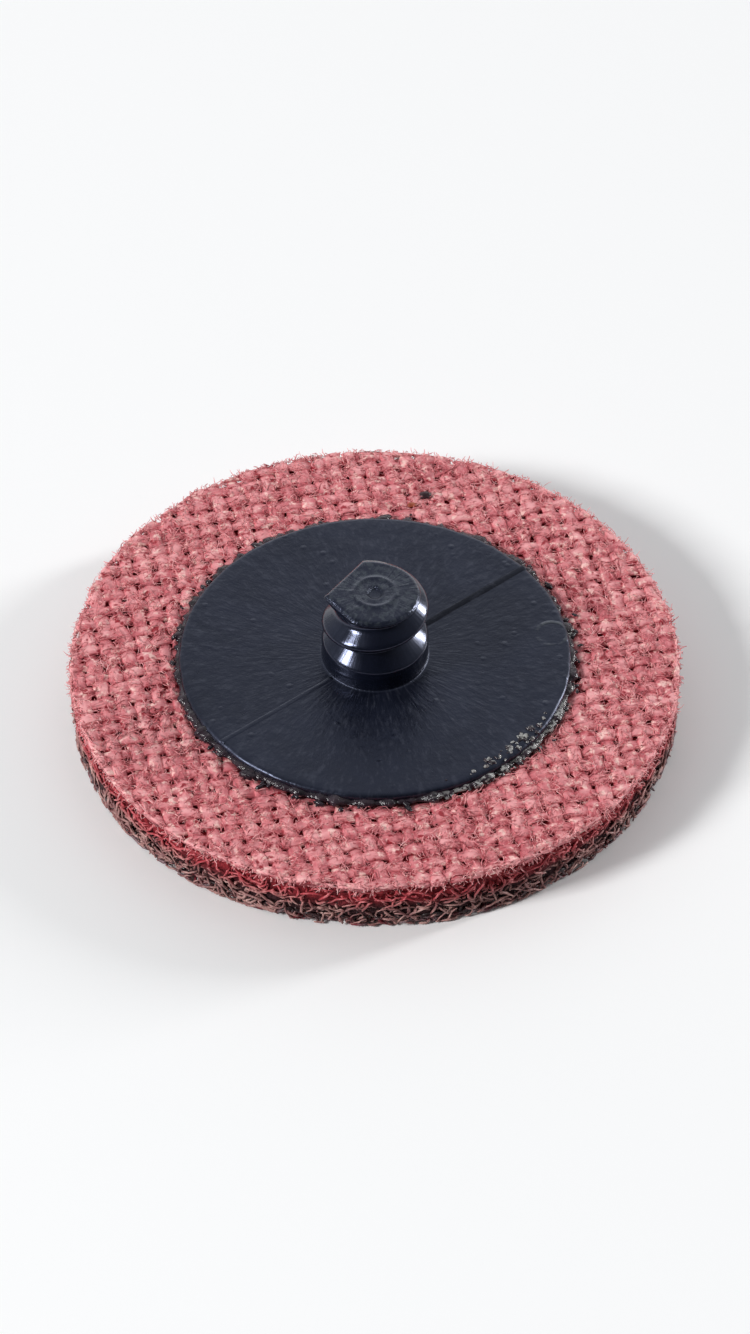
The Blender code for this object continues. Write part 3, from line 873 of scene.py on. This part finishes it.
class DISC_OT_bead(bpy.types.Operator):
    """Dark melt that squeezed out from under the button: an uneven bead, loose drops and crinkles with pale
    flecks as painted highlights.
    """

    bl_idname = "disc.bead"
    bl_label = "Adhesive bead"

    def execute(self, context):
        rng = random.Random(29)
        rows, columns = 14, 420
        inner = PLATE_RADIUS - 0.5 * MM

        def place(row, angle):
            x, y = PLATE_RADIUS * math.cos(angle), PLATE_RADIUS * math.sin(angle)
            lump = 0.5 + 0.5 * ripple(x, y, 0, 1.3 * MM, 2.0) + 0.35 * ripple(x, y, 0, 0.5 * MM, 5.0)
            lump = max(0.0, lump)
            reach = PLATE_RADIUS + (0.10 + 0.85 * lump**1.5) * MM
            crest = (0.25 + 0.62 * lump) * MM
            turn = math.tau * row / rows
            radius = (inner + reach) / 2 + (reach - inner) / 2 * math.cos(turn)
            return polar(radius, angle, BEAD_BASE + crest * (0.5 + 0.5 * math.sin(turn)))

        bm = bmesh.new()
        drawn_rings(bm, rows + 1, columns, place)
        bmesh.ops.remove_doubles(bm, verts=bm.verts, dist=2 * WELD)
        bmesh.ops.recalc_face_normals(bm, faces=bm.faces)
        for drop in self.drops(rng):
            self.add_drop(bm, rng, *drop)
        keep(mesh_from(bm, "adhesive_drops"), self.melt(), "adhesive_bead")
        return {"FINISHED"}

    def drops(self, rng):
        """Azimuth, distance from the axis, radius and rise over the cloth of each drop."""
        drops = [(math.radians(turn), PLATE_RADIUS + off * MM, LAP_RADIUS, 0.0) for turn, off in LAPS]
        for _ in range(DROP_COUNT):
            reach = PLATE_RADIUS + abs(rng.gauss(0.25, 0.35)) * MM
            drops.append((rng.uniform(0, math.tau), reach, rng.uniform(0.10, 0.30) * MM, 0.0))
        for _ in range(CRINKLE_COUNT):
            reach = PLATE_RADIUS + rng.uniform(-1.1, 0.5) * MM
            on_plate = PLATE_TOP - CLOTH_TOP if reach < PLATE_RADIUS - 0.1 * MM else 0.0
            drops.append((rng.gauss(CRINKLE_AZIMUTH, 0.14), reach, rng.uniform(0.08, 0.22) * MM, on_plate))
        return drops

    def add_drop(self, bm, rng, angle, reach, size, rise):
        drop = bmesh.ops.create_icosphere(bm, subdivisions=2, radius=size)["verts"]
        seed = rng.uniform(0, 50)
        for vert in drop:
            vert.co *= 1 + 0.5 * ripple(*vert.co, size, seed)
        bmesh.ops.scale(bm, vec=(rng.uniform(0.9, 1.8), rng.uniform(0.7, 1.1), 0.6), verts=drop)
        bmesh.ops.rotate(bm, verts=drop, matrix=Matrix.Rotation(rng.uniform(0, math.tau), 3, "Z"))
        centre = polar(reach, angle, CLOTH_TOP - 0.02 * MM + size * 0.2 + rise)
        bmesh.ops.translate(bm, vec=centre, verts=drop)

    def melt(self):
        """Dark gloss, with pale flecks painted on as highlights where it is crinkled."""
        made, tree, shader, place = blank_material("melted_adhesive", 0.16)
        tint, lines = grain(tree, place, 3500.0)
        colour = ramp(tree, tint, ((0.35, srgb(20, 15, 21)), (0.66, srgb(56, 42, 52))))
        toward = polar(1, CRINKLE_AZIMUTH)
        toward_crinkle = put(tree, "ShaderNodeVectorMath", place, toward, operation="DOT_PRODUCT").outputs["Value"]
        toward_crinkle = spread(tree, toward_crinkle, 13.8 * MM, 15.0 * MM)
        # Pale flecks on the crinkled side: painted highlights.
        pale = math_node(tree, "MULTIPLY", toward_crinkle, fleck(tree, place, 2600.0, 0.48, 0.60))
        colour = blend_colours(tree, pale, colour, srgb(158, 158, 156))
        dress(tree, shader, colour, lines, 0.9, 0.12 * MM)
        return made


class DISC_OT_button(bpy.types.Operator):
    """Moulded button: plate, collar and stud with a filleted thread, in one skin."""

    bl_idname = "disc.button"
    bl_label = "Threaded button"

    def execute(self, context):
        button = context.scene.disc.button
        bm = self.moulding(button)
        self.parting_ridge(bm, button)
        made = self.nylon(button)
        keep(mesh_from(bm, "button_moulding"), made, "threaded_button")
        return {"FINISHED"}

    def wall(self, button, angle, z):
        """Radius of the stud at an angle and a height."""
        top = PLATE_BASE + button.plate_thickness
        end = top + button.stud_height
        turn = (z - top - button.crest_at_zero) / button.thread_pitch - angle / math.tau
        off = abs(turn - round(turn)) * button.thread_pitch
        slope = (button.crest_radius - button.core_radius) / (1.07 * MM)
        thread = button.crest_radius + 0.05 * MM - slope * smooth_max(off - 0.15 * MM, 0, 0.25 * MM)
        radius = smooth_max(button.core_radius, thread, 0.35 * MM)
        above_collar = smooth_max(0, z - top - button.collar_height + 0.1 * MM, 0.2 * MM)
        radius = smooth_max(radius, button.collar_radius - 0.9 * above_collar, 0.15 * MM)
        below_crown = smooth_max(0, end - 0.45 * MM - z, 0.2 * MM)
        radius = smooth_max(radius, button.crown_radius - 1.1 * below_crown, 0.12 * MM)
        for azimuth, distance, height in LEAD_FLATS:
            facing = math.cos(angle - math.radians(azimuth))
            if facing > 0.3:
                flat = distance * MM / facing + 1.6 * max(0.0, end - height * MM - z)
                radius = smooth_min(radius, flat, 0.1 * MM)
        return radius

    def moulding(self, button):
        """Rings from the middle of the end face, down the stud, over the plate and round its edge."""
        top = PLATE_BASE + button.plate_thickness
        end = top + button.stud_height
        columns, face_rows, wall_rows, plate_rows, edge_rows = 200, 30, 120, 30, 10

        def place(row, angle):
            if row < face_rows:
                share = (row + 0.4) / face_rows
                radius = self.wall(button, angle, end - 0.2 * MM) * share
                z = end + 0.10 * MM * math.exp(-(((radius - GATE_RING_RADIUS) / (0.2 * MM)) ** 2))
                z -= 0.22 * MM * (1 - smooth_step(0.45 * MM, 0.75 * MM, radius))
                return polar(radius, angle, z - 0.24 * MM * smooth_step(0.90, 1.0, share))
            row -= face_rows
            if row < wall_rows:
                z = mix(end - 0.27 * MM, top + 0.10 * MM, row / (wall_rows - 1))
                return polar(self.wall(button, angle, z), angle, z)
            row -= wall_rows
            if row < plate_rows:
                share = (row + 1) / plate_rows
                radius = mix(button.collar_radius, PLATE_RADIUS - EDGE_ROUND, share**1.7)
                fillet = 0.10 * MM * math.exp(-(radius - button.collar_radius) / (0.06 * MM))
                return polar(radius, angle, top + fillet)
            row -= plate_rows
            swing = math.pi / 2 - math.pi * (row + 1) / edge_rows
            half = button.plate_thickness / 2
            x, y = math.cos(angle), math.sin(angle)
            rough = 1 + 0.0045 * ripple(x, y, 0, 0.10, 6.0) + 0.0025 * ripple(x, y, 0, 0.03, 2.0)
            radius = PLATE_RADIUS * rough - EDGE_ROUND + EDGE_ROUND * max(0.0, math.cos(swing)) ** 0.8
            return polar(min(radius, PLATE_RADIUS), angle, top - half + half * math.sin(swing))

        return turned_form(face_rows + wall_rows + plate_rows + edge_rows, columns, place)

    def parting_ridge(self, bm, button):
        """Low closed ridges that the two halves of the mould left across the plate."""
        top = PLATE_BASE + button.plate_thickness
        inner, outer = button.collar_radius + 0.1 * MM, PLATE_RADIUS - 0.15 * MM
        for side, crest in enumerate(RIDGE_HEIGHTS):
            ridge = bmesh.ops.create_grid(bm, x_segments=40, y_segments=4, size=0.5)["verts"]
            for vert in ridge:
                across = vert.co.y * 2
                radius = mix(inner, outer, vert.co.x + 0.5)
                height = crest * (1 - across**2) - 0.02 * MM
                wander = 0.05 * MM * ripple(radius, side, 0, 2 * MM, 1.0)
                vert.co = Vector((radius, across * RIDGE_WIDTH / 2 + wander, top + height))
            turn = Matrix.Rotation(PARTING_AZIMUTH + math.pi * side, 3, "Z")
            bmesh.ops.rotate(bm, verts=ridge, matrix=turn)
            faces = list(dict.fromkeys(face for vert in ridge for face in vert.link_faces))
            bmesh.ops.extrude_face_region(bm, geom=faces, use_keep_orig=True)
            bmesh.ops.translate(bm, verts=ridge, vec=Vector((0, 0, -0.1 * MM)))
        bmesh.ops.recalc_face_normals(bm, faces=bm.faces)

    def nylon(self, button):
        """Dark satin moulding with faint flow lines and pimples, smooth on the stud, scuffed on its end."""
        made, tree, shader, place = blank_material("moulded_nylon", 0.34, 0.65)
        shader.inputs["Specular Tint"].default_value = (0.63, 0.70, 1.0, 1)
        top = PLATE_BASE + button.plate_thickness
        end = top + button.stud_height
        fine = soft_noise(tree, place, 2600.0, 3.0, 0.6)
        cloudy = soft_noise(tree, place, 260.0, 3.0, 0.55)
        sink = soft_noise(tree, place, 850.0, 2.0, 0.55)
        cells = put(tree, "ShaderNodeTexVoronoi", Vector=place, Scale=520.0).outputs["Distance"]
        pimples = spread(tree, cells, 0.16, 0.05)
        streaks = self.streaks(tree, place)
        seam = self.seam(tree, place)
        blister = self.blister(tree, place)
        on_stud = height_share(tree, place, top + 0.2 * MM, top + 0.9 * MM)
        on_end = height_share(tree, place, end - 0.3 * MM, end - 0.05 * MM)

        dark, pale = ([channel * share for channel in button.nylon] for share in (0.8, 1.25))
        colour = ramp(tree, cloudy, ((0.35, dark), (0.65, pale)))
        colour = blend_colours(tree, seam, colour, srgb(4, 5, 8))
        scuff = math_node(tree, "MULTIPLY", fleck(tree, place, 2300.0, 0.45, 0.62), 0.40)
        colour = blend_colours(tree, math_node(tree, "MULTIPLY", scuff, on_end), colour, srgb(70, 76, 78))
        flow = spread(tree, streaks, 0.54, 0.70, 0.0, 0.35)
        flow = math_node(tree, "SUBTRACT", flow, on_stud, clamp=True)
        colour = blend_colours(tree, flow, colour, srgb(58, 60, 70))
        colour = blend_colours(tree, math_node(tree, "MULTIPLY", blister, 0.4), colour, srgb(96, 100, 98))

        rough = spread(tree, math_node(tree, "MULTIPLY", streaks, cloudy), 0.12, 0.38, 0.26, 0.42)
        rough = math_node(tree, "ADD", rough, math_node(tree, "MULTIPLY", on_stud, -0.16))
        rough = math_node(tree, "MAXIMUM", rough, math_node(tree, "MULTIPLY", seam, 0.9))
        join(tree, rough, shader.inputs["Roughness"])

        height = weighed(tree, (fine, 0.5), (sink, 1.5), (pimples, 1.3), (streaks, 1.4), (blister, 1.6))
        height = math_node(tree, "SUBTRACT", height, 1.75)  # its mean, so that calming it makes no step
        polish = math_node(tree, "SUBTRACT", on_stud, on_end)
        calm = math_node(tree, "SUBTRACT", 1.0, math_node(tree, "MULTIPLY", polish, 0.85))
        dress(tree, shader, colour, math_node(tree, "MULTIPLY", height, calm), 0.5, 0.06 * MM)
        return made

    def streaks(self, tree, place):
        """Flow lines that fan out from the stud."""
        turn = math_node(tree, "ARCTAN2", axis_of(tree, place, "Y"), axis_of(tree, place, "X"))
        sine, cosine = math_node(tree, "SINE", turn), math_node(tree, "COSINE", turn)
        reach = math_node(tree, "MULTIPLY", length_of(tree, place), 40.0)
        fan = put(tree, "ShaderNodeCombineXYZ", sine, cosine, reach)
        return soft_noise(tree, fan.outputs[0], 26.0, 3.0, 0.6)

    def blister(self, tree, place):
        """Open ring that a bubble left near the rim, on the +X side."""
        shift = put(tree, "ShaderNodeVectorMath", place, BLISTER_CENTRE, operation="SUBTRACT")
        off = math_node(tree, "SUBTRACT", length_of(tree, shift.outputs[0]), BLISTER_RADIUS)
        band = spread(tree, math_node(tree, "ABSOLUTE", off), 0.20 * MM, 0.06 * MM)
        return math_node(tree, "MULTIPLY", band, fleck(tree, place, 620.0, 0.42, 0.58))

    def seam(self, tree, place):
        """Darker mask along one half of the parting ridge."""
        line = turned(tree, place, -PARTING_AZIMUTH)
        off = math_node(tree, "ABSOLUTE", axis_of(tree, line, "Y"))
        wobble = math_node(tree, "MULTIPLY", soft_noise(tree, place, 500.0), 0.12 * MM)
        narrow = spread(tree, math_node(tree, "ADD", off, wobble), 0.44 * MM, 0.30 * MM)
        beyond = math_node(tree, "GREATER_THAN", axis_of(tree, line, "X"), 4.5 * MM)
        return math_node(tree, "MULTIPLY", narrow, beyond)


class DISC_PT_panel(bpy.types.Panel):
    """Lists the builders and settings of the disc."""

    bl_label = "Surface conditioning disc"
    bl_idname = "DISC_PT_panel"
    bl_space_type = "VIEW_3D"
    bl_region_type = "UI"
    bl_category = "Disc"

    def draw(self, context):
        for kind in OPERATORS:
            self.layout.operator(kind.bl_idname)
        disc = context.scene.disc
        for group in (disc.web, disc.cloth, disc.button):
            box = self.layout.box()
            for name in group.__annotations__:
                box.prop(group, name)


OPERATORS = (DISC_OT_stage, DISC_OT_web, DISC_OT_cloth, DISC_OT_bead, DISC_OT_button)
CLASSES = (WebSettings, ClothSettings, ButtonSettings, DiscSettings, *OPERATORS, DISC_PT_panel)


def register():
    for kind in CLASSES:
        bpy.utils.register_class(kind)
    bpy.types.Scene.disc = PointerProperty(type=DiscSettings)


def unregister():
    del bpy.types.Scene.disc
    for kind in reversed(CLASSES):
        bpy.utils.unregister_class(kind)


def main():
    register()
    bpy.ops.disc.stage()
    bpy.ops.disc.web()
    bpy.ops.disc.cloth()
    bpy.ops.disc.bead()
    bpy.ops.disc.button()


if __name__ == "__main__":
    main()
